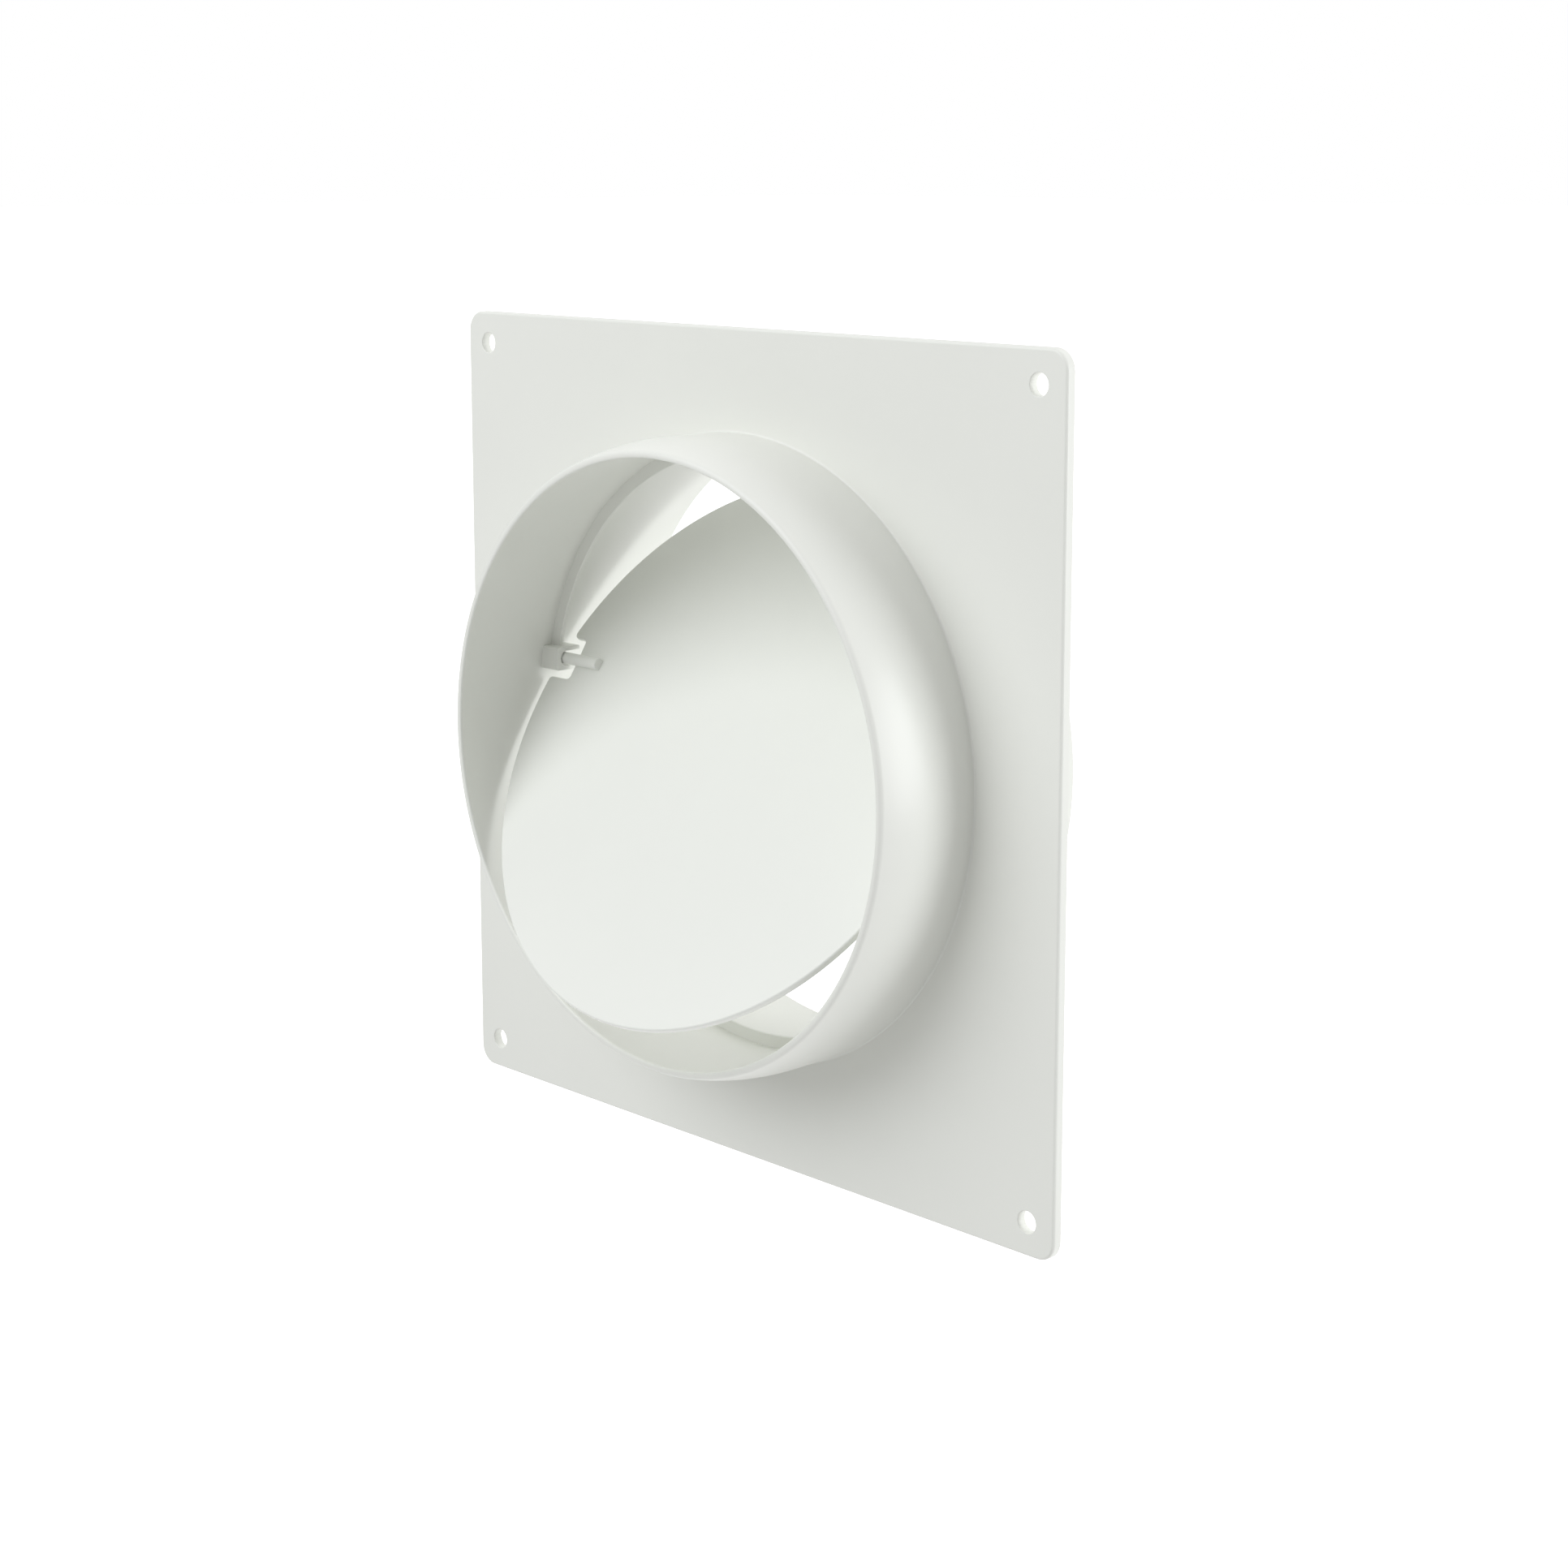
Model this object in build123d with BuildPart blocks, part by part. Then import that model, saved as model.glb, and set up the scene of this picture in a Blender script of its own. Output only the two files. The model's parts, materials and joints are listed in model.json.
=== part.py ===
from build123d import *
from math import cos, radians, sin, sqrt
import os

# Duct connector with damper: a moulded wall plate with a round spigot on its front and a
# sleeve on its back, and a disc flap that swings on two stub pins inside the bore.
# Sizes are in millimetres. The origin is on the duct axis, in the plate's back face.
# X runs to the right along the plate, Y runs into the wall and Z is up.

# Wall plate
plate_side = 165.0
plate_thickness = 2.0
plate_corner_radius = 4.0
plate_edge_rounding = 0.6
screw_inset = 6.5
screw_hole_diameter = 4.2

# Duct tube: spigot in front of the plate, sleeve behind it
spigot_diameter = 124.6
tube_wall = 1.5
spigot_length = 22.5
spigot_land = 10.0
mouth_draw_in = 2.0
mouth_edge_break = 0.4
spigot_root_fillet = 1.0
sleeve_length = 26.0
sleeve_lead_in = 0.8

# Pivot line of the flap
pivot_depth = 0.6
pivot_rise = 11.0
pin_diameter = 2.5
pin_play = 0.3
pin_end_gap = 0.6
pin_tip_chamfer = 0.4

# Snap-in bearing clips on the bore, open to the rear
clip_length = 5.1
clip_prong = 0.9
clip_front_reach = 2.6
clip_rear_reach = 3.6
clip_corner_radius = 0.5

# Flap, drawn at the angle where it stands partly open
flap_angle = 33.0
flap_thickness = 1.6
flap_setback = 0.7
flap_edge_gap = 2.1
flap_edge_break = 0.3
flap_notch_gap = 0.6
notch_depth_gap = 2.4
notch_corner_radius = 1.0
pin_root_length = 7.8

# Half-ring seats: the upper one in front of the closed flap, the lower one behind it
seat_height = 2.6
seat_thickness = 1.0
seat_gap = 0.2
lower_seat_drop = 7.0

# How closely an edge has to lie where it is looked for
edge_match = 0.1

# Sizes that follow from the ones above
land_radius = spigot_diameter / 2
bore_radius = land_radius - tube_wall
wall_middle = bore_radius + tube_wall / 2
plate_front = -plate_thickness
land_end = plate_front - spigot_land
mouth = plate_front - spigot_length
screw_spacing = plate_side - 2 * screw_inset
slot_radius = pin_diameter / 2 + pin_play
clip_half_height = slot_radius + clip_prong
clip_root = sqrt(bore_radius**2 - pivot_rise**2)
clip_face = clip_root - clip_length
clip_middle = pivot_depth + (clip_rear_reach - clip_front_reach) / 2
notch_face = clip_face - notch_depth_gap
upper_notch = sqrt(clip_rear_reach**2 + clip_half_height**2) + flap_notch_gap
lower_notch = sqrt(clip_front_reach**2 + clip_half_height**2) + flap_notch_gap
pin_root = notch_face - pin_root_length
pin_end = clip_root - pin_end_gap
flap_radius = bore_radius - flap_edge_gap
seat_radius = bore_radius - seat_height
upper_seat_end = pivot_rise + slot_radius + clip_prong / 2
lower_seat_end = pivot_rise - lower_seat_drop
closed_flap_front = pivot_depth + flap_setback
closed_flap_back = closed_flap_front + flap_thickness
upper_seat_back = closed_flap_front - seat_gap
lower_seat_back = closed_flap_back + seat_gap + seat_thickness

pivot = (pivot_depth, pivot_rise)
lean = radians(flap_angle)
flap_plane = Plane(
    origin=(0, pivot_depth, pivot_rise),
    x_dir=(1, 0, 0),
    z_dir=(0, -cos(lean), sin(lean)),
)


def is_spigot_root(edge):
    """Tell the ring where the spigot stands on the plate from the other circular edges."""
    on_plate = abs(edge.center().Y - plate_front) < edge_match
    return on_plate and abs(edge.radius - land_radius) < edge_match


with BuildPart() as connector:
    # Half-ring seats inside the bore
    seats = ((upper_seat_back, upper_seat_end, 1), (lower_seat_back, lower_seat_end, -1))
    for seat_back, seat_end, half in seats:
        with BuildSketch(Plane.XZ.offset(-seat_back)):
            Circle(wall_middle)
            Circle(seat_radius, mode=Mode.SUBTRACT)
            with Locations((0, seat_end + half * spigot_diameter / 2)):
                Rectangle(spigot_diameter, spigot_diameter, mode=Mode.INTERSECT)
        extrude(amount=seat_thickness)

    # Bearing clips, one on each side, with a round-ended slot open to the rear
    for side in (1, -1):
        with BuildSketch(Plane.YZ.offset(side * clip_face)):
            with Locations((clip_middle, pivot_rise)):
                RectangleRounded(clip_front_reach + clip_rear_reach, 2 * clip_half_height, clip_corner_radius)
            with Locations(pivot):
                Circle(slot_radius, mode=Mode.SUBTRACT)
            with Locations((pivot_depth + clip_rear_reach / 2, pivot_rise)):
                Rectangle(clip_rear_reach, 2 * slot_radius, mode=Mode.SUBTRACT)
        extrude(amount=side * (land_radius - clip_face))

    # Both are trimmed to end inside the tube's wall
    with BuildSketch(Plane.XZ.offset(-sleeve_length)):
        Circle(wall_middle)
    extrude(amount=sleeve_length - mouth, mode=Mode.INTERSECT)

    # Tube: straight sleeve and land, then a rounded draw-in to the mouth
    with BuildSketch(Plane.XY) as profile:
        with BuildLine():
            outside = Polyline(
                (land_radius, land_end),
                (land_radius, sleeve_length - sleeve_lead_in),
                (land_radius - sleeve_lead_in / 2, sleeve_length),
                (bore_radius, sleeve_length),
                (bore_radius, land_end),
            )
            inner_lip = TangentArc(outside @ 1, (bore_radius - mouth_draw_in, mouth), tangent=(0, -1))
            outer_lip = TangentArc(outside @ 0, (land_radius - mouth_draw_in, mouth), tangent=(0, -1))
            Line(inner_lip @ 1, outer_lip @ 1)
        make_face()
        chamfer(profile.vertices().group_by(Axis.Y)[0], length=mouth_edge_break)
    revolve(axis=Axis.Y)

    # Square plate round the tube
    with BuildSketch(Plane.XZ):
        RectangleRounded(plate_side, plate_side, plate_corner_radius)
        Circle(wall_middle, mode=Mode.SUBTRACT)
        with GridLocations(screw_spacing, screw_spacing, 2, 2):
            Circle(screw_hole_diameter / 2, mode=Mode.SUBTRACT)
    extrude(amount=plate_thickness)

    # Softened edges of the moulding
    rings = connector.edges().filter_by(GeomType.CIRCLE)
    fillet(rings.filter_by(is_spigot_root), radius=spigot_root_fillet)
    plate_face = connector.faces().filter_by(Plane.XZ).sort_by(SortBy.AREA)[-2:].sort_by(Axis.Y)[0]
    fillet(plate_face.outer_wire().edges(), radius=plate_edge_rounding)

with BuildPart() as flap:
    # Disc with a round-cornered notch at each end of the pivot line, clear of the clips
    with BuildSketch(flap_plane.offset(-flap_setback)) as outline:
        with Locations((0, -pivot_rise)):
            Circle(flap_radius)
        for side in (1, -1):
            with Locations((side * (notch_face + flap_radius) / 2, (upper_notch - lower_notch) / 2)):
                Rectangle(flap_radius - notch_face, upper_notch + lower_notch, mode=Mode.SUBTRACT)
        notch_ends = (-lower_notch - edge_match, upper_notch + edge_match)
        corners = outline.vertices().filter_by_position(Axis.Y, *notch_ends)
        fillet(corners, radius=notch_corner_radius)
    extrude(amount=-flap_thickness)
    broad_faces = flap.faces().sort_by(SortBy.AREA)[-2:]
    chamfer(broad_faces.edges(), length=flap_edge_break)

    # Stub pins that are rooted on the face of the disc and turn in the clips
    for side in (1, -1):
        with BuildSketch(Plane.YZ.offset(side * pin_root)):
            with Locations(pivot):
                Circle(pin_diameter / 2)
        extrude(amount=side * (pin_end - pin_root))
    pin_tips = flap.edges().filter_by(GeomType.CIRCLE).group_by(Axis.X)
    chamfer(pin_tips[0] + pin_tips[-1], length=pin_tip_chamfer)

connector.part.label = "wall_plate_spigot"
flap.part.label = "damper_flap"

os.makedirs("parts", exist_ok=True)
export_step(connector.part, "parts/wall_plate_spigot.step")
export_step(flap.part, "parts/damper_flap.step")
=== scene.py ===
import json
from contextlib import contextmanager
from math import acos, asin, cos, hypot, pi, radians, sin, sqrt

import bmesh
import bpy
from bpy.props import FloatProperty, FloatVectorProperty, PointerProperty
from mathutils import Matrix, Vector


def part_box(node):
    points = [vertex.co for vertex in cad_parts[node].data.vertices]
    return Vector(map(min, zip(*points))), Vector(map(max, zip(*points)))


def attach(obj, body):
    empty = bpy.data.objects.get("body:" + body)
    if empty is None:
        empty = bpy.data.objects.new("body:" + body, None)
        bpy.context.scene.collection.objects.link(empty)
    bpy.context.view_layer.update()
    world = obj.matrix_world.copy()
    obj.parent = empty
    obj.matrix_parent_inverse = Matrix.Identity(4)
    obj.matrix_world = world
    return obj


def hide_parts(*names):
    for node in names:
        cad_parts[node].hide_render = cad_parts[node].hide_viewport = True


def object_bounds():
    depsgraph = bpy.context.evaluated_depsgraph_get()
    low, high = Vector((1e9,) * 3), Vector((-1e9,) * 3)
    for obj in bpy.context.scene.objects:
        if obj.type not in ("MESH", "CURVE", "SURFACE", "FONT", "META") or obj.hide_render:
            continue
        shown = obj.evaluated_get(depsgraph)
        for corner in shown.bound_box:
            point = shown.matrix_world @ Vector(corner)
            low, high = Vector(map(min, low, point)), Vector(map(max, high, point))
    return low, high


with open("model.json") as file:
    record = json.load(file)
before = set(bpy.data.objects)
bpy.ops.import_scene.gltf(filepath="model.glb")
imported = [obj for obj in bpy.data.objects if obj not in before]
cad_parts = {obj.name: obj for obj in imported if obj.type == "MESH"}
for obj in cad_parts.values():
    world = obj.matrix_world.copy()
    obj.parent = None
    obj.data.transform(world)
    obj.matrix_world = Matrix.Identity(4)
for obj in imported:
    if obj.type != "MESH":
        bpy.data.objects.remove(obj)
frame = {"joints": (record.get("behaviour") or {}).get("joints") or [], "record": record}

bl_info = {
    "name": "Duct connector with damper",
    "version": (1, 0, 0),
    "blender": (4, 5, 0),
    "location": "View3D > Sidebar > Duct connector",
    "description": "Models a moulded duct connector and its flap, and a studio to show them in",
    "category": "Add Mesh",
}

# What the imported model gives: its box, its mounts and the line that the flap swings on
CAD_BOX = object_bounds()
MM = 0.001
CONNECTOR_LOW, CONNECTOR_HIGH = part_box("wall_plate_spigot")
FLAP_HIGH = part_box("damper_flap")[1]
MOUNTS = {mount["name"]: mount for mount in frame["record"]["mounts"]}
SPIGOT = MOUNTS["duct_spigot"]
SLEEVE = MOUNTS["wall_sleeve"]
SCREWS = MOUNTS["wall_screws"]["dims"]
SWING = frame["joints"][0]
PIVOT = Vector(SWING["pos_m"])
PLATE_SIDE = CONNECTOR_HIGH.x - CONNECTOR_LOW.x
TUBE_LENGTH = CONNECTOR_HIGH.y - CONNECTOR_LOW.y
TUBE_RADIUS = SPIGOT["dims"]["r_mm"] * MM
SPIGOT_LAND = SPIGOT["dims"]["length_mm"] * MM
SLEEVE_LAND = SLEEVE["dims"]["length_mm"] * MM
SCREW_SPACING = SCREWS["spacing_x_mm"] * MM
SCREW_RADIUS = SCREWS["hole_r_mm"] * MM
CLOSED_ANGLE = radians(SWING["range_deg"][0])

# How many steps round shapes are divided into
ROUND_STEPS = 256
SMALL_ROUND_STEPS = 48
LIP_STEPS = 14
CORNER_STEPS = 8
FILLET_STEPS = 6
CLIP_CORNER_STEPS = 5
EDGE_STEPS = 4
FINE_EDGE_STEPS = 3
FINEST_EDGE_STEPS = 2

# A bevel with this profile is round
ROUND_PROFILE = 0.5

# How near points lie that are merged, and points that are found where they are looked for
MERGE_DISTANCE = 0.001 * MM
PLACE_MATCH = 0.01 * MM

# How far the shading leans on the larger faces: 50 is not at all and 100 the most
FLAT_FACE_WEIGHT = 100

# How many plate thicknesses the cutter for the tube's opening is long
CUTTER_LENGTH = 4

# A piece is made round this point, and a cylinder is turned from upright to lie along X or Y
MIDDLE = (0.0, 0.0, 0.0)
ALONG_X = (0.0, pi / 2, 0.0)
ALONG_Y = (pi / 2, 0.0, 0.0)

# Moulded plastic: patches of tone and gloss, fine grain, and how the plastic bends light
PATCH_SCALE = 28.0
PATCH_DETAIL = 3.0
GRAIN_DETAIL = 2.0
NOISE_MIDDLE = 0.5
PLASTIC_IOR = 1.5

# Studio: the floor, the near end of what the camera sees, how far round to the front the light
# from behind reaches, and the white of the room and of the floor's glow
FLOOR_WIDTH = 40.0
FLOOR_ROUGHNESS = 0.9
CAMERA_NEAR = 0.01
REACH_ROUND = 0.35
WHITE = (1.0, 1.0, 1.0, 1.0)


def length(name, description, default):
    """A size in metres that shows in the scene's length unit."""
    return FloatProperty(
        name=name, description=description, default=default, min=0.0, unit="LENGTH", precision=5
    )


def angle(name, description, default):
    """An angle that shows in degrees."""
    return FloatProperty(name=name, description=description, default=default, subtype="ANGLE")


def share(name, description, default):
    """A share from none to all."""
    return FloatProperty(
        name=name, description=description, default=default, min=0.0, max=1.0, subtype="FACTOR"
    )


def amount(name, description, default):
    """A plain number that isn't below zero, such as a brightness where 1 is plain white."""
    return FloatProperty(name=name, description=description, default=default, min=0.0)


def wattage(name, description, default):
    """The power of a light."""
    return FloatProperty(name=name, description=description, default=default, unit="POWER")


def position(name, description, default):
    """A place in the room."""
    return FloatVectorProperty(
        name=name, description=description, default=default, size=3, subtype="XYZ", unit="LENGTH"
    )


def tint(name, description, default):
    """A colour."""
    return FloatVectorProperty(
        name=name, description=description, default=default, size=3, min=0.0, max=1.0, subtype="COLOR"
    )


class ConnectorSizes(bpy.types.PropertyGroup):
    """Sizes of the wall plate, the tube, the seats and the clips"""

    plate_side: length("Plate side", "Side of the square wall plate", PLATE_SIDE)
    plate_thickness: length("Plate thickness", "Thickness of the wall plate", 2.0 * MM)
    plate_corner: length("Plate corner", "Radius of the plate's corners", 4.0 * MM)
    plate_rounding: length("Plate edge", "Rounding of the plate's front edge", 0.6 * MM)
    screw_spacing: length("Screw spacing", "Distance between screw holes", SCREW_SPACING)
    screw_radius: length("Screw hole", "Radius of a screw hole", SCREW_RADIUS)
    screw_rounding: length("Screw hole edge", "Rounding of a screw hole's edge", 0.2 * MM)
    land_radius: length("Tube radius", "Outside radius of the tube's straight part", TUBE_RADIUS)
    tube_wall: length("Tube wall", "Thickness of the tube's wall", 1.5 * MM)
    draw_in: length("Mouth draw-in", "How far the spigot narrows at its mouth", 2.0 * MM)
    mouth_rounding: length("Mouth edge", "Rounding of the mouth's edges", 0.65 * MM)
    root_fillet: length("Spigot root", "Fillet where the spigot stands on the plate", 0.4 * MM)
    seat_height: length("Seat height", "How far a seat stands in from the bore", 2.6 * MM)
    seat_thickness: length("Seat thickness", "Thickness of a half-ring seat", 1.0 * MM)
    lower_seat_drop: length("Lower seat drop", "Drop from the pivot to the lower seat", 7.0 * MM)
    seat_gap: length("Seat gap", "Gap between a seat and the closed flap", 0.2 * MM)
    seat_rounding: length("Seat edge", "Rounding of a seat's inner edges", 0.25 * MM)
    clip_length: length("Clip length", "How far a clip stands in from the bore", 5.1 * MM)
    clip_prong: length("Clip prong", "Thickness of a clip's prongs", 0.9 * MM)
    clip_front: length("Clip front", "How far a clip reaches in front of the pin", 2.6 * MM)
    clip_rear: length("Clip rear", "How far a clip's prongs reach behind the pin", 3.6 * MM)
    clip_corner: length("Clip corner", "Radius of a clip's outer corners", 0.5 * MM)
    clip_rounding: length("Clip edge", "Rounding of a clip's other edges", 0.15 * MM)
    pin_play: length("Pin play", "Play of a pin in its clip", 0.3 * MM)


class FlapSizes(bpy.types.PropertyGroup):
    """Sizes of the damper flap"""

    thickness: length("Thickness", "Thickness of the disc", 1.6 * MM)
    setback: length("Setback", "How far the disc's face lies behind the pivot line", 0.7 * MM)
    edge_gap: length("Edge gap", "Gap between the disc and the bore", 2.1 * MM)
    edge_rounding: length("Edge", "Rounding of the disc's edges", 0.43 * MM)
    notch_gap: length("Notch gap", "Gap between a notch and the clip's path", 0.6 * MM)
    notch_depth_gap: length("Notch depth", "Gap between a notch's floor and the clip", 2.4 * MM)
    notch_corner: length("Notch corner", "Radius of a notch's corners", 1.0 * MM)
    pin_radius: length("Pin radius", "Radius of a stub pin", 1.25 * MM)
    pin_root: length("Pin root", "Length of a stub pin along the disc's face", 7.8 * MM)
    pin_root_rounding: length("Pin root edge", "Rounding of a pin's inner end", 0.3 * MM)
    pin_chamfer: length("Pin tip", "Chamfer of a pin's tip", 0.4 * MM)
    lean: angle("Lean", "How far the flap stands open at rest", -CLOSED_ANGLE)


class PlasticFinish(bpy.types.PropertyGroup):
    """Colour and surface of the white plastic"""

    connector_colour: tint("Connector", "Colour of the plate and the tube", (0.86, 0.87, 0.825))
    flap_colour: tint("Flap", "Colour of the flap", (0.875, 0.89, 0.845))
    tone_drift: share("Tone drift", "How much the tone changes from patch to patch", 0.03)
    roughness: share("Roughness", "Middle roughness of the moulded surface", 0.34)
    gloss_drift: share("Gloss drift", "How much the roughness changes from patch to patch", 0.06)
    grain: amount("Grain", "How fine the moulded grain is", 900.0)
    grain_strength: share("Grain strength", "How clearly the grain shows", 0.05)
    grain_height: length("Grain height", "Height of the moulded grain", 0.05 * MM)


class StudioSettings(bpy.types.PropertyGroup):
    """Camera, light and floor"""

    camera_place: position("Camera", "Place of the camera", (0.398, -0.3777, 0.116))
    camera_turn: angle("Turn", "Turn of the camera about the vertical", radians(45.7))
    camera_tilt: angle("Tilt", "How far the camera looks down", radians(9.5))
    camera_lens: FloatProperty(
        name="Lens", description="Focal length of the lens", default=65.5, min=1.0, unit="CAMERA"
    )
    camera_shift: FloatProperty(
        name="Shift", description="Upward shift of the lens, as a share of the picture", default=-0.1
    )
    floor_drop: length("Floor drop", "How far the floor lies below the plate", 0.25)
    floor_colour: tint("Floor", "Colour of the floor", (0.92, 0.92, 0.92))
    floor_glow: amount("Floor glow", "How brightly the floor shines by itself", 1.0)
    light_colour: tint("Light colour", "Colour of the two soft lights", (0.97, 0.985, 1.0))
    key_place: position("Key place", "Place of the large light in front", (-0.41, -0.97, 0.64))
    key_size: length("Key size", "Width of the large light", 1.2)
    key_power: wattage("Key light", "Power of the large light", 8.7)
    rim_place: position("Rim place", "Place of the side light behind the plate", (0.75, 0.3, 0.12))
    rim_width: length("Rim width", "Width of the upright side light", 0.3)
    rim_height: length("Rim height", "Height of the upright side light", 0.6)
    rim_power: wattage("Rim light", "Power of the upright side light", 2.6)
    room_behind: amount("Light behind", "Brightness of the room behind the plate", 0.6)
    room_in_front: amount("Light in front", "Brightness of the room in front of the plate", 0.34)
    room_above: amount("Light above", "Brightness of the room above", 0.53)
    room_below: amount("Light below", "Brightness that the room throws back from below", 0.74)


def select_only(piece):
    """Leave this piece alone selected and active."""
    bpy.ops.object.select_all(action="DESELECT")
    piece.select_set(True)
    bpy.context.view_layer.objects.active = piece


@contextmanager
def editing(piece):
    """Edit mode on one piece."""
    select_only(piece)
    bpy.ops.object.mode_set(mode="EDIT")
    yield
    bpy.ops.object.mode_set(mode="OBJECT")


def choose_edges(piece, wanted):
    """Select the edges that pass the test, which gets an edge's two ends."""
    bpy.ops.mesh.select_mode(type="EDGE")
    mesh = bmesh.from_edit_mesh(piece.data)
    for edge in mesh.edges:
        edge.select_set(wanted(*[end.co for end in edge.verts]))
    mesh.select_flush_mode()
    bmesh.update_edit_mesh(piece.data)


def bevel_edges(piece, wanted, width, steps):
    """Round the edges that pass the test. The width isn't held back by short edges beside them."""
    with editing(piece):
        choose_edges(piece, wanted)
        bpy.ops.mesh.bevel(
            offset=width,
            offset_type="OFFSET",
            segments=steps,
            profile=ROUND_PROFILE,
            clamp_overlap=False,
        )


def apply_modifier(piece, modifier):
    """Make a modifier's result the piece's own mesh."""
    select_only(piece)
    bpy.ops.object.modifier_apply(modifier=modifier.name)


def soften(piece, width, steps, sharpest=radians(40)):
    """Round every edge that is sharper than an angle."""
    rounding = piece.modifiers.new("Softened edges", "BEVEL")
    rounding.width = width
    rounding.segments = steps
    rounding.limit_method = "ANGLE"
    rounding.angle_limit = sharpest
    apply_modifier(piece, rounding)


def combine(piece, tool, operation):
    """Join, cut or trim a piece with a tool shape, which is used up."""
    cut = piece.modifiers.new("Combined", "BOOLEAN")
    cut.operation = operation
    cut.solver = "EXACT"
    cut.object = tool
    apply_modifier(piece, cut)
    bpy.data.objects.remove(tool)


def settle(piece, place, turn):
    """Put a piece in its place, with the place and the turn in its mesh."""
    select_only(piece)
    piece.location = place
    piece.rotation_euler = turn
    bpy.ops.object.transform_apply(location=True, rotation=True, scale=True)


def placed(turn=None):
    """The primitive just added, with its place, turn and scale in its mesh."""
    piece = bpy.context.object
    if turn:
        piece.rotation_euler = turn
    bpy.ops.object.transform_apply(location=True, rotation=True, scale=True)
    return piece


def add_cylinder(radius, span, middle, turn, steps):
    """A closed cylinder of a span along its axis."""
    bpy.ops.object.select_all(action="DESELECT")
    bpy.ops.mesh.primitive_cylinder_add(vertices=steps, radius=radius, depth=span, location=middle)
    return placed(turn)


def add_block(sides, middle):
    """A closed block."""
    bpy.ops.object.select_all(action="DESELECT")
    bpy.ops.mesh.primitive_cube_add(size=1.0, location=middle)
    bpy.context.object.scale = sides
    return placed()


def add_circle(radius, place, turn, steps, fill):
    """A circle, filled or left open."""
    bpy.ops.object.select_all(action="DESELECT")
    bpy.ops.mesh.primitive_circle_add(vertices=steps, radius=radius, fill_type=fill, location=place)
    return placed(turn)


def draw_out(profile, draw, x=0.0, z=0.0):
    """Draw the selected circle out along a profile of (radius, depth) points, and resize it."""
    radius, depth = profile[0]
    for next_radius, next_depth in profile[1:]:
        draw(TRANSFORM_OT_translate={"value": (0.0, next_depth - depth, 0.0)})
        growth = next_radius / radius
        bpy.ops.transform.resize(value=(growth, 1.0, growth), center_override=(x, next_depth, z))
        radius, depth = next_radius, next_depth


def turn_outwards():
    """Turn all faces of the piece that is edited outwards."""
    bpy.ops.mesh.select_all(action="SELECT")
    bpy.ops.mesh.normals_make_consistent(inside=False)


def add_ring(profile, turn=0.0):
    """A closed ring round the duct axis: a circle is drawn out along a profile, and its last
    loop is bridged to its first."""
    radius, depth = profile[0]
    ring = add_circle(radius, (0.0, depth, 0.0), (pi / 2, turn, 0.0), ROUND_STEPS, "NOTHING")
    with editing(ring):
        bpy.ops.mesh.select_all(action="SELECT")
        draw_out(profile, bpy.ops.mesh.extrude_edges_move)
        bpy.ops.mesh.select_all(action="DESELECT")
        bpy.ops.mesh.select_non_manifold()
        bpy.ops.mesh.bridge_edge_loops()
        turn_outwards()
    return ring


def add_plug(profile, x, z):
    """A closed plug along the depth: a disc is drawn out along a profile."""
    radius, depth = profile[0]
    plug = add_circle(radius, (x, depth, z), ALONG_Y, SMALL_ROUND_STEPS, "NGON")
    with editing(plug):
        bpy.ops.mesh.select_all(action="SELECT")
        draw_out(profile, bpy.ops.mesh.extrude_region_move, x, z)
        turn_outwards()
    return plug


def start_outline(point):
    """A single point to draw a level outline from."""
    bpy.ops.object.select_all(action="DESELECT")
    bpy.ops.mesh.primitive_plane_add(size=MM, location=point)
    outline = placed()
    with editing(outline):
        bpy.ops.mesh.select_mode(type="VERT")
        bpy.ops.mesh.select_all(action="SELECT")
        bpy.ops.mesh.merge(type="CENTER")
    return outline


def drawn_end(outline):
    """Where the drawn line ends: its selected point."""
    mesh = bmesh.from_edit_mesh(outline.data)
    return next(point.co.copy() for point in mesh.verts if point.select)


def draw_line(end, outline):
    """Draw a straight line on to a point (x, y)."""
    start = drawn_end(outline)
    step = (end[0] - start.x, end[1] - start.y, 0.0)
    bpy.ops.mesh.extrude_vertices_move(TRANSFORM_OT_translate={"value": step})


def draw_arc(centre, sweep, steps, outline):
    """Draw an arc on round a centre (x, y); a sweep above zero turns to the left."""
    level = drawn_end(outline).z
    bpy.ops.mesh.spin(steps=steps, angle=-sweep, center=(*centre, level), axis=(0.0, 0.0, 1.0))


def close_and_thicken(height):
    """Fill a drawn outline and draw the face out upwards or downwards."""
    bpy.ops.mesh.select_all(action="SELECT")
    bpy.ops.mesh.remove_doubles(threshold=MERGE_DISTANCE)
    bpy.ops.mesh.edge_face_add()
    bpy.ops.mesh.extrude_region_move(TRANSFORM_OT_translate={"value": (0.0, 0.0, height)})
    turn_outwards()


def from_axis(point):
    """Distance of a point from the duct axis."""
    return hypot(point.x, point.z)


def at_depth(depth):
    """A test for edges that lie whole at one depth along the duct axis."""
    return lambda *ends: all(abs(end.y - depth) < PLACE_MATCH for end in ends)


def on_ring(radius, depth):
    """A test for edges of one ring round the duct axis."""

    def wanted(*ends):
        at_radius = all(abs(from_axis(end) - radius) < PLACE_MATCH for end in ends)
        return at_radius and at_depth(depth)(*ends)

    return wanted


def close_surface(piece):
    """Merge what lies in one place, and turn all faces outwards."""
    with editing(piece):
        bpy.ops.mesh.select_all(action="SELECT")
        bpy.ops.mesh.remove_doubles(threshold=MERGE_DISTANCE)
        bpy.ops.mesh.dissolve_degenerate(threshold=MERGE_DISTANCE)
        bpy.ops.mesh.normals_make_consistent(inside=False)


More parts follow.
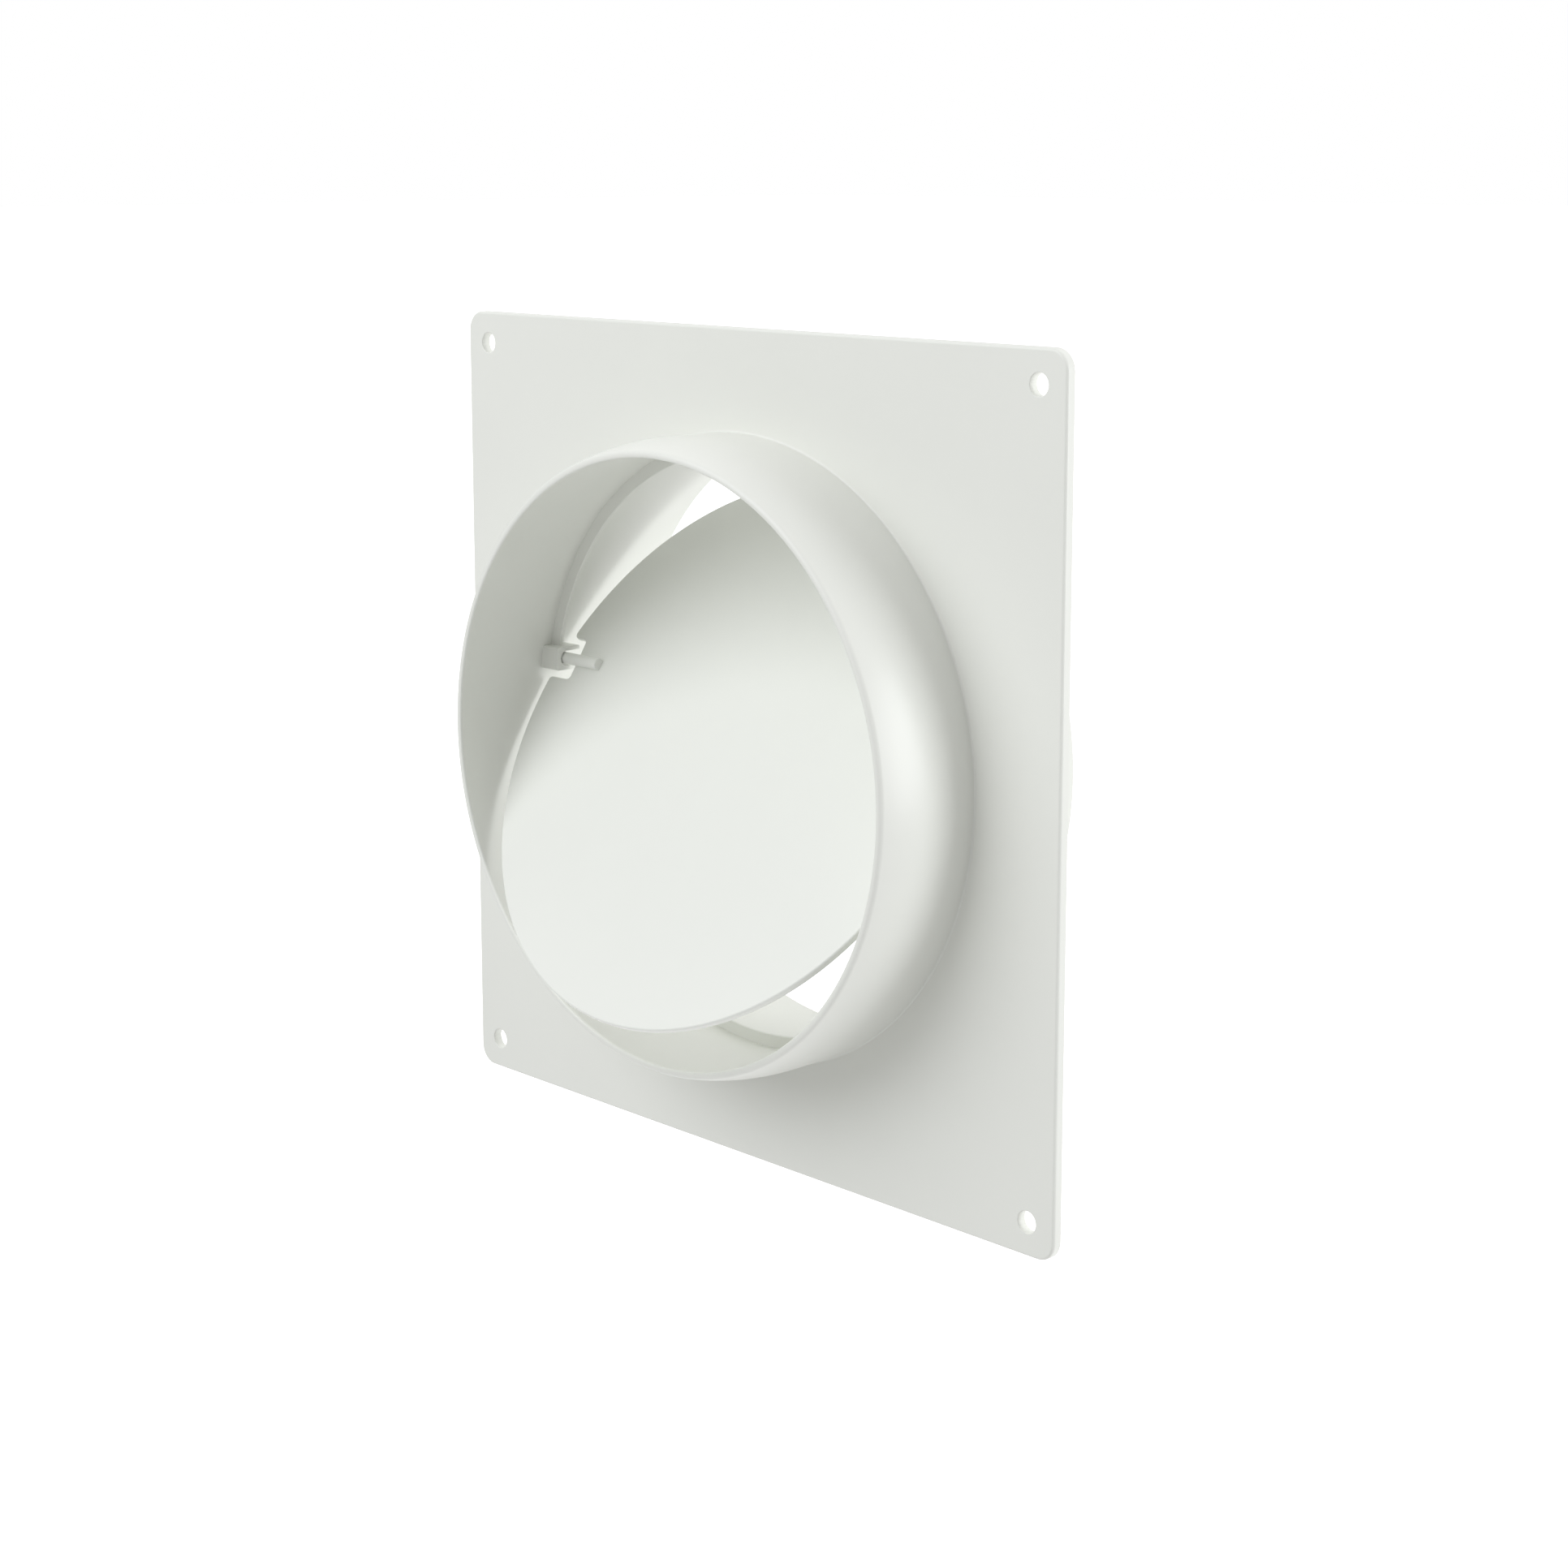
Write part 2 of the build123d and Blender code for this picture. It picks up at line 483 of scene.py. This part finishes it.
def shade_moulding(piece, sharpest=radians(35)):
    """Smooth shading on round faces, with flat faces kept flat."""
    select_only(piece)
    bpy.ops.object.shade_smooth_by_angle(angle=sharpest)
    flats = piece.modifiers.new("Flat faces", "WEIGHTED_NORMAL")
    flats.mode = "FACE_AREA"
    flats.weight = FLAT_FACE_WEIGHT
    flats.keep_sharp = True
    apply_modifier(piece, flats)


def bore_radius(sizes):
    """Radius of the tube's straight bore."""
    return sizes.land_radius - sizes.tube_wall


def wall_middle(sizes):
    """Radius halfway through the tube's wall, where what joins the wall ends."""
    return sizes.land_radius - sizes.tube_wall / 2


def slot_radius(sizes, flap):
    """Radius of the slot that a stub pin turns in."""
    return flap.pin_radius + sizes.pin_play


def clip_face(sizes):
    """Distance of a clip's inner face from the middle."""
    return sqrt(bore_radius(sizes) ** 2 - PIVOT.z**2) - sizes.clip_length


def draw_in_arc(start_radius, start_depth, end_depth, draw_in):
    """Profile points of the rounded draw-in, which leaves the straight wall without a kink."""
    reach = start_depth - end_depth
    bend = (draw_in**2 + reach**2) / (2 * draw_in)
    sweep = asin(reach / bend)
    turns = [sweep * step / LIP_STEPS for step in range(LIP_STEPS + 1)]
    return [
        (start_radius - bend * (1 - cos(turn)), start_depth - bend * sin(turn)) for turn in turns
    ]


def model_tube(sizes):
    """The tube: sleeve, land and drawn-in spigot in one ring, with a rounded mouth."""
    bore = bore_radius(sizes)
    land_end = SPIGOT["pos_m"][1] - SPIGOT_LAND / 2
    mouth = CONNECTOR_LOW.y
    sleeve_end = CONNECTOR_HIGH.y
    lead_in = sleeve_end - SLEEVE_LAND
    outer_lip = draw_in_arc(sizes.land_radius, land_end, mouth, sizes.draw_in)
    inner_lip = draw_in_arc(bore, land_end, mouth, sizes.draw_in)
    sleeve = [
        (bore, sleeve_end),
        (sizes.land_radius - lead_in / 2, sleeve_end),
        (sizes.land_radius, sleeve_end - lead_in),
    ]
    tube = add_ring(outer_lip + inner_lip[::-1] + sleeve)
    bevel_edges(tube, at_depth(mouth), sizes.mouth_rounding, EDGE_STEPS)
    return tube


def model_seat(sizes, back, level, keep_above):
    """A half-ring seat, cut off level, with the part above or below the cut kept. Its points lie
    between the tube's, so that the two never cross in one place."""
    root = wall_middle(sizes)
    rim = bore_radius(sizes) - sizes.seat_height
    front = back - sizes.seat_thickness
    profile = [(root, front), (rim, front), (rim, back), (root, back)]
    seat = add_ring(profile, turn=pi / ROUND_STEPS)

    def on_rim(*ends):
        return on_ring(rim, front)(*ends) or on_ring(rim, back)(*ends)

    bevel_edges(seat, on_rim, sizes.seat_rounding, FINE_EDGE_STEPS)
    with editing(seat):
        bpy.ops.mesh.select_all(action="SELECT")
        bpy.ops.mesh.bisect(
            plane_co=(0.0, 0.0, level),
            plane_no=(0.0, 0.0, 1.0),
            use_fill=True,
            clear_inner=keep_above,
            clear_outer=not keep_above,
        )
    return seat


def model_clip(sizes, flap, side):
    """A bearing clip: a block with a round-ended slot that is open to the rear. Its outline is
    drawn level, with the rear to the right, then filled, drawn out, softened and stood up in
    the bore."""
    slot = slot_radius(sizes, flap)
    top = slot + sizes.clip_prong
    rear = sizes.clip_rear
    front = -sizes.clip_front
    corner = sizes.clip_corner
    face = clip_face(sizes)
    clip = start_outline((rear, -slot, side * face))
    with editing(clip):
        draw_line((0.0, -slot), clip)
        draw_arc((0.0, 0.0), -pi, SMALL_ROUND_STEPS // 2, clip)
        draw_line((rear, slot), clip)
        draw_line((rear, top - corner), clip)
        draw_arc((rear - corner, top - corner), pi / 2, CLIP_CORNER_STEPS, clip)
        draw_line((front + corner, top), clip)
        draw_arc((front + corner, top - corner), pi / 2, CLIP_CORNER_STEPS, clip)
        draw_line((front, corner - top), clip)
        draw_arc((front + corner, corner - top), pi / 2, CLIP_CORNER_STEPS, clip)
        draw_line((rear - corner, -top), clip)
        draw_arc((rear - corner, corner - top), pi / 2, CLIP_CORNER_STEPS, clip)
        close_and_thicken(side * (sizes.land_radius - face))
    soften(clip, sizes.clip_rounding, FINEST_EDGE_STEPS)
    settle(clip, (0.0, PIVOT.y, PIVOT.z), (pi / 2, 0.0, pi / 2))
    trim = add_cylinder(wall_middle(sizes), TUBE_LENGTH, MIDDLE, ALONG_Y, ROUND_STEPS)
    combine(clip, trim, "INTERSECT")
    return clip


def model_drill(sizes, x, z):
    """A drill that leaves a screw hole with a rounded edge at the plate's front."""
    front = -sizes.plate_thickness
    rounding = sizes.screw_rounding
    widest = sizes.screw_radius + rounding
    turns = [pi / 2 * step / FINE_EDGE_STEPS for step in range(FINE_EDGE_STEPS + 1)]
    edge = [(widest - rounding * cos(turn), front + rounding * (1 - sin(turn))) for turn in turns]
    behind = (sizes.screw_radius, sizes.plate_thickness)
    in_front = (widest, 2 * front)
    return add_plug([behind, *edge, in_front], x, z)


def model_plate(sizes):
    """The square plate with rounded corners and four screw holes, open where the tube passes."""
    thickness = sizes.plate_thickness
    front = -thickness
    plate = add_block((sizes.plate_side, thickness, sizes.plate_side), (0.0, front / 2, 0.0))

    def through_plate(a, b):
        return abs(a.y - b.y) > thickness / 2

    bevel_edges(plate, through_plate, sizes.plate_corner, CORNER_STEPS)
    bevel_edges(plate, at_depth(front), sizes.plate_rounding, EDGE_STEPS)
    span = CUTTER_LENGTH * thickness
    opening = add_cylinder(wall_middle(sizes), span, MIDDLE, ALONG_Y, ROUND_STEPS)
    combine(plate, opening, "DIFFERENCE")
    for x in (-sizes.screw_spacing / 2, sizes.screw_spacing / 2):
        for z in (-sizes.screw_spacing / 2, sizes.screw_spacing / 2):
            combine(plate, model_drill(sizes, x, z), "DIFFERENCE")
    return plate


def model_disc(sizes, flap):
    """The flap's disc, lying level with its pivot line along X. One half of its notched outline
    is drawn and mirrored, then filled, thickened and rounded at its edges."""
    radius = bore_radius(sizes) - flap.edge_gap
    corner = flap.notch_corner
    clip_top = slot_radius(sizes, flap) + sizes.clip_prong
    top = hypot(sizes.clip_rear, clip_top) + flap.notch_gap
    bottom = -hypot(sizes.clip_front, clip_top) - flap.notch_gap
    floor = clip_face(sizes) - flap.notch_depth_gap
    centre = (0.0, -PIVOT.z)
    inside = radius - corner
    upper_turn = acos((top + corner + PIVOT.z) / inside)
    lower_turn = acos((corner - bottom - PIVOT.z) / inside)
    upper_lip = (inside * sin(upper_turn), top + corner)
    lower_lip = (inside * sin(lower_turn), bottom - corner)
    disc = start_outline((0.0, radius - PIVOT.z, -flap.setback))
    with editing(disc):
        draw_arc(centre, -upper_turn, ROUND_STEPS // 4, disc)
        draw_arc(upper_lip, upper_turn - pi, CORNER_STEPS, disc)
        draw_line((floor + corner, top), disc)
        draw_arc((floor + corner, top - corner), pi / 2, FILLET_STEPS, disc)
        draw_line((floor, bottom + corner), disc)
        draw_arc((floor + corner, bottom + corner), pi / 2, FILLET_STEPS, disc)
        draw_line((lower_lip[0], bottom), disc)
        draw_arc(lower_lip, lower_turn - pi, CORNER_STEPS, disc)
        draw_arc(centre, -lower_turn, ROUND_STEPS // 4, disc)
    other_half = disc.modifiers.new("Other half", "MIRROR")
    other_half.merge_threshold = MERGE_DISTANCE
    apply_modifier(disc, other_half)
    with editing(disc):
        close_and_thicken(-flap.thickness)

    def on_a_face(a, b):
        return abs(a.z - b.z) < PLACE_MATCH

    bevel_edges(disc, on_a_face, flap.edge_rounding, EDGE_STEPS)
    return disc


def model_pin(sizes, flap, side):
    """A stub pin, rooted on the disc's face, that turns in a clip."""
    root = clip_face(sizes) - flap.notch_depth_gap - flap.pin_root
    tip = FLAP_HIGH.x
    middle = (side * (root + tip) / 2, 0.0, 0.0)
    pin = add_cylinder(flap.pin_radius, tip - root, middle, ALONG_X, SMALL_ROUND_STEPS)

    def at_tip(a, b):
        return min(abs(a.x), abs(b.x)) > tip - PLACE_MATCH

    def at_root(a, b):
        return max(abs(a.x), abs(b.x)) < root + PLACE_MATCH

    bevel_edges(pin, at_tip, flap.pin_chamfer, FINEST_EDGE_STEPS)
    bevel_edges(pin, at_root, flap.pin_root_rounding, FINE_EDGE_STEPS)
    return pin


def add_math(nodes, operation):
    """A node that calculates with plain values."""
    node = nodes.new("ShaderNodeMath")
    node.operation = operation
    return node


def moulded_surface_group():
    """Node group of a moulded plastic surface: slow drift of tone, patches of gloss and a fine
    grain."""
    name = "Moulded surface"
    if name in bpy.data.node_groups:
        return bpy.data.node_groups[name]
    group = bpy.data.node_groups.new(name, "ShaderNodeTree")
    for direction, sockets in (
        ("INPUT", ("Colour", "Tone drift", "Roughness", "Gloss drift", "Grain")),
        ("OUTPUT", ("Colour", "Roughness", "Height")),
    ):
        for socket in sockets:
            kind = "NodeSocketColor" if socket == "Colour" else "NodeSocketFloat"
            group.interface.new_socket(name=socket, in_out=direction, socket_type=kind)
    nodes, links = group.nodes, group.links
    inputs = nodes.new("NodeGroupInput")
    outputs = nodes.new("NodeGroupOutput")
    place = nodes.new("ShaderNodeTexCoord")

    # Patches, as a value that swings about zero
    patches = nodes.new("ShaderNodeTexNoise")
    patches.inputs["Scale"].default_value = PATCH_SCALE
    patches.inputs["Detail"].default_value = PATCH_DETAIL
    links.new(place.outputs["Object"], patches.inputs["Vector"])
    centred = add_math(nodes, "SUBTRACT")
    centred.inputs[1].default_value = NOISE_MIDDLE
    links.new(patches.outputs["Fac"], centred.inputs[0])

    # The colour, a little lighter and darker from patch to patch
    tone = add_math(nodes, "MULTIPLY_ADD")
    tone.inputs[2].default_value = 1.0
    links.new(centred.outputs["Value"], tone.inputs[0])
    links.new(inputs.outputs["Tone drift"], tone.inputs[1])
    tinted = nodes.new("ShaderNodeVectorMath")
    tinted.operation = "SCALE"
    links.new(inputs.outputs["Colour"], tinted.inputs[0])
    links.new(tone.outputs["Value"], tinted.inputs["Scale"])
    links.new(tinted.outputs["Vector"], outputs.inputs["Colour"])

    # The roughness, which follows the same patches
    gloss = add_math(nodes, "MULTIPLY_ADD")
    links.new(centred.outputs["Value"], gloss.inputs[0])
    links.new(inputs.outputs["Gloss drift"], gloss.inputs[1])
    links.new(inputs.outputs["Roughness"], gloss.inputs[2])
    links.new(gloss.outputs["Value"], outputs.inputs["Roughness"])

    # The fine grain, as a height
    grain = nodes.new("ShaderNodeTexNoise")
    grain.inputs["Detail"].default_value = GRAIN_DETAIL
    links.new(place.outputs["Object"], grain.inputs["Vector"])
    links.new(inputs.outputs["Grain"], grain.inputs["Scale"])
    links.new(grain.outputs["Fac"], outputs.inputs["Height"])
    return group


def plastic_material(slot):
    """White moulded plastic of one of the two pieces."""
    finish = bpy.context.scene.plastic_finish
    colour = finish.flap_colour if slot == "white_flap" else finish.connector_colour
    material = bpy.data.materials.new(slot)
    material.use_nodes = True
    nodes, links = material.node_tree.nodes, material.node_tree.links
    shader = nodes["Principled BSDF"]
    shader.inputs["IOR"].default_value = PLASTIC_IOR
    surface = nodes.new("ShaderNodeGroup")
    surface.node_tree = moulded_surface_group()
    surface.inputs["Colour"].default_value = (*colour, 1.0)
    surface.inputs["Tone drift"].default_value = finish.tone_drift
    surface.inputs["Roughness"].default_value = finish.roughness
    surface.inputs["Gloss drift"].default_value = finish.gloss_drift
    surface.inputs["Grain"].default_value = finish.grain
    bump = nodes.new("ShaderNodeBump")
    bump.inputs["Strength"].default_value = finish.grain_strength
    bump.inputs["Distance"].default_value = finish.grain_height
    links.new(surface.outputs["Colour"], shader.inputs["Base Color"])
    links.new(surface.outputs["Roughness"], shader.inputs["Roughness"])
    links.new(surface.outputs["Height"], bump.inputs["Height"])
    links.new(bump.outputs["Normal"], shader.inputs["Normal"])
    return material


def finish_piece(piece, name, node, body, slot):
    """Shade and name a finished moulding, give it its plastic, and let it stand for its node."""
    close_surface(piece)
    shade_moulding(piece)
    piece.name = name
    piece.data.name = name
    piece.data.materials.clear()
    piece.data.materials.append(plastic_material(slot))
    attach(piece, body)
    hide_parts(node)


def floor_material(studio):
    """Pale matt floor."""
    material = bpy.data.materials.new("pale_floor")
    material.use_nodes = True
    shader = material.node_tree.nodes["Principled BSDF"]
    shader.inputs["Base Color"].default_value = (*studio.floor_colour, 1.0)
    shader.inputs["Roughness"].default_value = FLOOR_ROUGHNESS
    shader.inputs["Emission Color"].default_value = WHITE
    shader.inputs["Emission Strength"].default_value = studio.floor_glow
    return material


def lay_floor(studio):
    """A wide floor that is seen, and neither lights nor shades the connector."""
    bpy.ops.object.select_all(action="DESELECT")
    level = CAD_BOX[0].z - studio.floor_drop
    bpy.ops.mesh.primitive_plane_add(size=FLOOR_WIDTH, location=(0.0, 0.0, level))
    floor = placed()
    floor.name = "floor"
    floor.data.materials.append(floor_material(studio))
    floor.visible_diffuse = False
    floor.visible_glossy = False
    floor.visible_shadow = False


def light_room(studio):
    """A white room that shines softly from four sides, and is plain white to look at."""
    world = bpy.data.worlds.new("studio")
    bpy.context.scene.world = world
    world.use_nodes = True
    nodes, links = world.node_tree.nodes, world.node_tree.links
    background = nodes["Background"]
    background.inputs["Color"].default_value = WHITE
    direction = nodes.new("ShaderNodeTexCoord")
    seen = nodes.new("ShaderNodeLightPath")
    strength = nodes.new("ShaderNodeMix")
    strength.inputs["B"].default_value = 1.0
    links.new(seen.outputs["Is Camera Ray"], strength.inputs["Factor"])
    links.new(strength.outputs["Result"], background.inputs["Strength"])
    light_so_far = None
    for towards, dark_at, full_at, brightness in (
        ((0.0, 1.0, 0.0), -REACH_ROUND, REACH_ROUND, studio.room_behind),
        ((0.0, -1.0, 0.0), 0.0, 1.0, studio.room_in_front),
        ((0.0, 0.0, 1.0), 0.0, 1.0, studio.room_above),
        ((0.0, 0.0, -1.0), 0.0, 1.0, studio.room_below),
    ):
        facing = nodes.new("ShaderNodeVectorMath")
        facing.operation = "DOT_PRODUCT"
        facing.inputs[1].default_value = towards
        links.new(direction.outputs["Generated"], facing.inputs[0])
        glow = nodes.new("ShaderNodeMapRange")
        glow.interpolation_type = "SMOOTHSTEP"
        glow.inputs["From Min"].default_value = dark_at
        glow.inputs["From Max"].default_value = full_at
        glow.inputs["To Max"].default_value = brightness
        links.new(facing.outputs["Value"], glow.inputs["Value"])
        total = add_math(nodes, "ADD")
        total.inputs[1].default_value = 0.0
        links.new(glow.outputs["Result"], total.inputs[0])
        if light_so_far:
            links.new(light_so_far, total.inputs[1])
        light_so_far = total.outputs["Value"]
    links.new(light_so_far, strength.inputs["A"])


def add_soft_light(name, place, width, height, power, colour):
    """A soft panel of light that faces the connector."""
    bpy.ops.object.light_add(type="AREA", location=place)
    panel = bpy.context.object
    panel.name = name
    panel.data.shape = "ELLIPSE"
    panel.data.size = width
    panel.data.size_y = height
    panel.data.energy = power
    panel.data.color = colour
    panel.rotation_euler = (-panel.location).to_track_quat("-Z", "Y").to_euler()


def set_camera(studio):
    """The camera that the connector is seen through."""
    bpy.ops.object.camera_add(location=studio.camera_place)
    camera = bpy.context.object
    camera.rotation_euler = (pi / 2 - studio.camera_tilt, 0.0, studio.camera_turn)
    camera.data.lens = studio.camera_lens
    camera.data.shift_y = studio.camera_shift
    camera.data.clip_start = CAMERA_NEAR
    bpy.context.scene.camera = camera
    bpy.context.scene.view_settings.view_transform = "Standard"


class CONNECTOR_OT_wall_plate(bpy.types.Operator):
    """Model the wall plate with its spigot, sleeve, seats and clips as one moulding"""

    bl_idname = "connector.wall_plate"
    bl_label = "Wall plate and tube"

    def execute(self, context):
        sizes = context.scene.connector_sizes
        flap = context.scene.flap_sizes
        connector = model_tube(sizes)
        closed_front = PIVOT.y + flap.setback
        upper_back = closed_front - sizes.seat_gap
        lower_back = closed_front + flap.thickness + sizes.seat_gap + sizes.seat_thickness
        upper_end = PIVOT.z + flap.pin_radius + sizes.pin_play + sizes.clip_prong / 2
        lower_end = PIVOT.z - sizes.lower_seat_drop
        combine(connector, model_seat(sizes, upper_back, upper_end, True), "UNION")
        combine(connector, model_seat(sizes, lower_back, lower_end, False), "UNION")
        for side in (1, -1):
            combine(connector, model_clip(sizes, flap, side), "UNION")
        combine(connector, model_plate(sizes), "UNION")
        close_surface(connector)
        root = on_ring(sizes.land_radius, -sizes.plate_thickness)
        bevel_edges(connector, root, sizes.root_fillet, FILLET_STEPS)
        finish_piece(
            connector, "wall_plate_moulding", "wall_plate_spigot", "connector", "white_moulding"
        )
        return {"FINISHED"}


class CONNECTOR_OT_damper_flap(bpy.types.Operator):
    """Model the damper flap with its notches and stub pins as one moulding"""

    bl_idname = "connector.damper_flap"
    bl_label = "Damper flap"

    def execute(self, context):
        sizes = context.scene.connector_sizes
        flap = context.scene.flap_sizes
        disc = model_disc(sizes, flap)
        for side in (1, -1):
            combine(disc, model_pin(sizes, flap, side), "UNION")
        close_surface(disc)
        settle(disc, PIVOT, (pi / 2 - flap.lean, 0.0, 0.0))
        finish_piece(disc, "damper_flap_moulding", "damper_flap", "flap", "white_flap")
        return {"FINISHED"}


class CONNECTOR_OT_studio(bpy.types.Operator):
    """Set up the floor, the light and the camera"""

    bl_idname = "connector.studio"
    bl_label = "Studio"

    def execute(self, context):
        studio = context.scene.studio_settings
        lay_floor(studio)
        light_room(studio)
        for name, place, width, height, power in (
            ("key_light", studio.key_place, studio.key_size, studio.key_size, studio.key_power),
            ("rim_light", studio.rim_place, studio.rim_width, studio.rim_height, studio.rim_power),
        ):
            add_soft_light(name, place, width, height, power, studio.light_colour)
        set_camera(studio)
        return {"FINISHED"}


class CONNECTOR_PT_sidebar(bpy.types.Panel):
    """Sizes, finish and studio of the duct connector"""

    bl_label = "Duct connector"
    bl_idname = "CONNECTOR_PT_sidebar"
    bl_space_type = "VIEW_3D"
    bl_region_type = "UI"
    bl_category = "Duct connector"

    def draw(self, context):
        scene = context.scene
        for settings, operator in (
            (scene.connector_sizes, CONNECTOR_OT_wall_plate),
            (scene.flap_sizes, CONNECTOR_OT_damper_flap),
            (scene.plastic_finish, None),
            (scene.studio_settings, CONNECTOR_OT_studio),
        ):
            box = self.layout.box()
            for name in settings.__annotations__:
                box.prop(settings, name)
            if operator:
                box.operator(operator.bl_idname)


SETTINGS = {
    "connector_sizes": ConnectorSizes,
    "flap_sizes": FlapSizes,
    "plastic_finish": PlasticFinish,
    "studio_settings": StudioSettings,
}
CLASSES = (
    *SETTINGS.values(),
    CONNECTOR_OT_wall_plate,
    CONNECTOR_OT_damper_flap,
    CONNECTOR_OT_studio,
    CONNECTOR_PT_sidebar,
)


def register():
    """Make the settings, the operators and the panel known to Blender."""
    for cls in CLASSES:
        bpy.utils.register_class(cls)
    for name, cls in SETTINGS.items():
        setattr(bpy.types.Scene, name, PointerProperty(type=cls))


def unregister():
    """Take them away again."""
    for name in SETTINGS:
        delattr(bpy.types.Scene, name)
    for cls in reversed(CLASSES):
        bpy.utils.unregister_class(cls)


def main():
    """Model the connector and the flap, and set up the studio."""
    register()
    bpy.ops.connector.wall_plate()
    bpy.ops.connector.damper_flap()
    bpy.ops.connector.studio()


if __name__ == "__main__":
    main()
